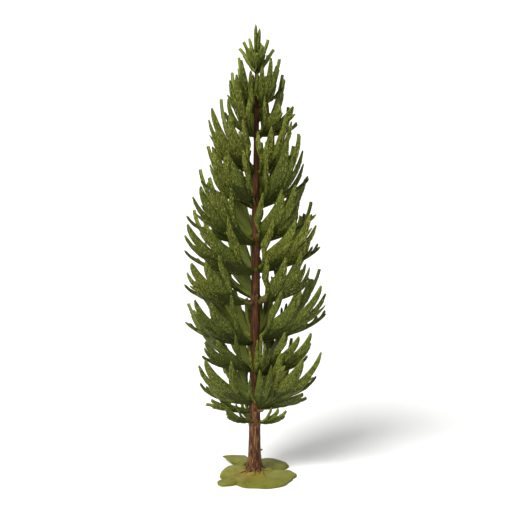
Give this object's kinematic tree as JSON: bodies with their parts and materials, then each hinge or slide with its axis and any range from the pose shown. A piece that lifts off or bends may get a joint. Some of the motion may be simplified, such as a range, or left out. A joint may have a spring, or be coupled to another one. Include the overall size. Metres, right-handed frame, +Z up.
{
  "type": "model cypress tree",
  "caption": "Slender moulded model cypress tree: whorls of upturned finger-like fronds round a tapering brown trunk, standing on a thin green turf base.",
  "frame": {"origin": "on the flat underside of the turf base, below the trunk", "axes": "+Z up the trunk, -Y towards the pictured front, +X to the right seen from the front"},
  "size_m": [0.0746, 0.0531, 0.24],
  "materials": {
    "foliage": "matt olive green paint, lighter on the tips",
    "bark": "matt reddish brown paint with tan dry-brushed streaks",
    "turf": "matt yellow-green paint, brown round the trunk"
  },
  "bodies": {
    "root": {"base": "turf", "trunk": "bark", "leader": "foliage", "bough_06_1": "bark", "bough_06_5": "bark", "frond_01_1": "foliage", "frond_01_2": "foliage", "frond_01_3": "foliage", "frond_02_1": "foliage", "frond_02_2": "foliage", "frond_02_3": "foliage", "frond_03_1": "foliage", "frond_03_2": "foliage", "frond_03_3": "foliage", "frond_03_4": "foliage", "frond_03_5": "foliage", "frond_04_1": "foliage", "frond_04_2": "foliage", "frond_04_3": "foliage", "frond_04_4": "foliage", "frond_04_5": "foliage", "frond_04_6": "foliage", "frond_05_1": "foliage", "frond_05_2": "foliage", "frond_05_3": "foliage", "frond_05_4": "foliage", "frond_05_5": "foliage", "frond_05_6": "foliage", "frond_06_1": "foliage", "frond_06_2": "foliage", "frond_06_3": "foliage", "frond_06_4": "foliage", "frond_06_5": "foliage", "frond_07_1": "foliage", "frond_07_2": "foliage", "frond_07_3": "foliage", "frond_07_4": "foliage", "frond_07_5": "foliage", "frond_08_1": "foliage", "frond_08_2": "foliage", "frond_08_3": "foliage", "frond_08_4": "foliage", "frond_08_5": "foliage", "frond_09_1": "foliage", "frond_09_2": "foliage", "frond_09_3": "foliage", "frond_09_4": "foliage", "frond_09_5": "foliage", "frond_10_1": "foliage", "frond_10_2": "foliage", "frond_10_3": "foliage", "frond_10_4": "foliage", "frond_11_1": "foliage", "frond_11_2": "foliage", "frond_11_3": "foliage", "frond_11_4": "foliage", "frond_12_1": "foliage", "frond_12_2": "foliage", "frond_12_3": "foliage", "frond_12_4": "foliage"}
  },
  "joints": []
}
